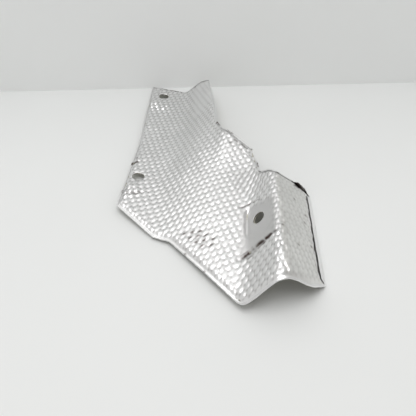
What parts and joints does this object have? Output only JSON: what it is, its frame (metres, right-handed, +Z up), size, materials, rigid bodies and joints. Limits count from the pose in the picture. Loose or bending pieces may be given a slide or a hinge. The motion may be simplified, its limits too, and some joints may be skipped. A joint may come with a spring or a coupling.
{
  "type": "exhaust manifold heat shield",
  "caption": "Layered heat shield for an exhaust manifold: embossed sheet skins over a fibre mat, folded into a ridge and a dome, with hemmed edges and bolt holes.",
  "frame": {"origin": "below the middle of the bounding box, on the surface the shield rests on", "axes": "+Y along the long low panel from the ridge end to the narrow end, +X towards the side of the ridge, +Z up, hollow side down"},
  "size_m": [0.1604, 0.332, 0.032],
  "materials": {
    "inner_sheet": "plain hot side, dull; its hem is smooth",
    "fibre_mat": "needled fibre felt",
    "outer_sheet": "bright, embossed all over with small pillows"
  },
  "bodies": {
    "root": {"inner_skin": "inner_sheet", "insulation_mat": "fibre_mat", "outer_skin": "outer_sheet"}
  },
  "joints": []
}
